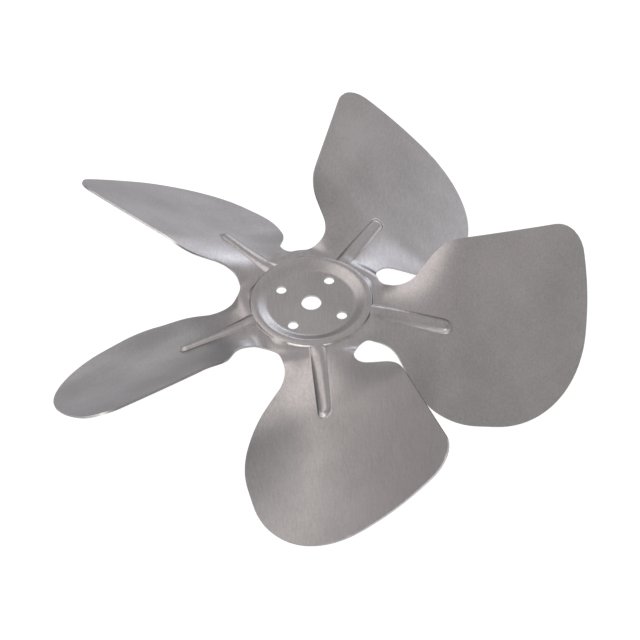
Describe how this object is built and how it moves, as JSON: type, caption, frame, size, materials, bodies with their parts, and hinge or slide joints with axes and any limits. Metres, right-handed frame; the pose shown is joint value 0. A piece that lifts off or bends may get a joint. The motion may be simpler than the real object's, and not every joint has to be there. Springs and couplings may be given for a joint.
{
  "type": "axial fan impeller",
  "caption": "Pressed sheet axial fan impeller: pitched blades with stiffening ribs around a ringed flat hub with a shaft bore and bolt holes.",
  "frame": {"origin": "centre of the shaft bore, on the upper face of the hub's flat disc", "axes": "+Z along the axis of rotation, out of the face that the ribs stand up from; +Y through one bolt hole and along one blade's rib"},
  "size_m": [0.1944, 0.1942, 0.0431],
  "materials": {
    "impeller": "satin rolled sheet with a fine grain"
  },
  "bodies": {
    "root": {"impeller": "impeller"}
  },
  "joints": []
}
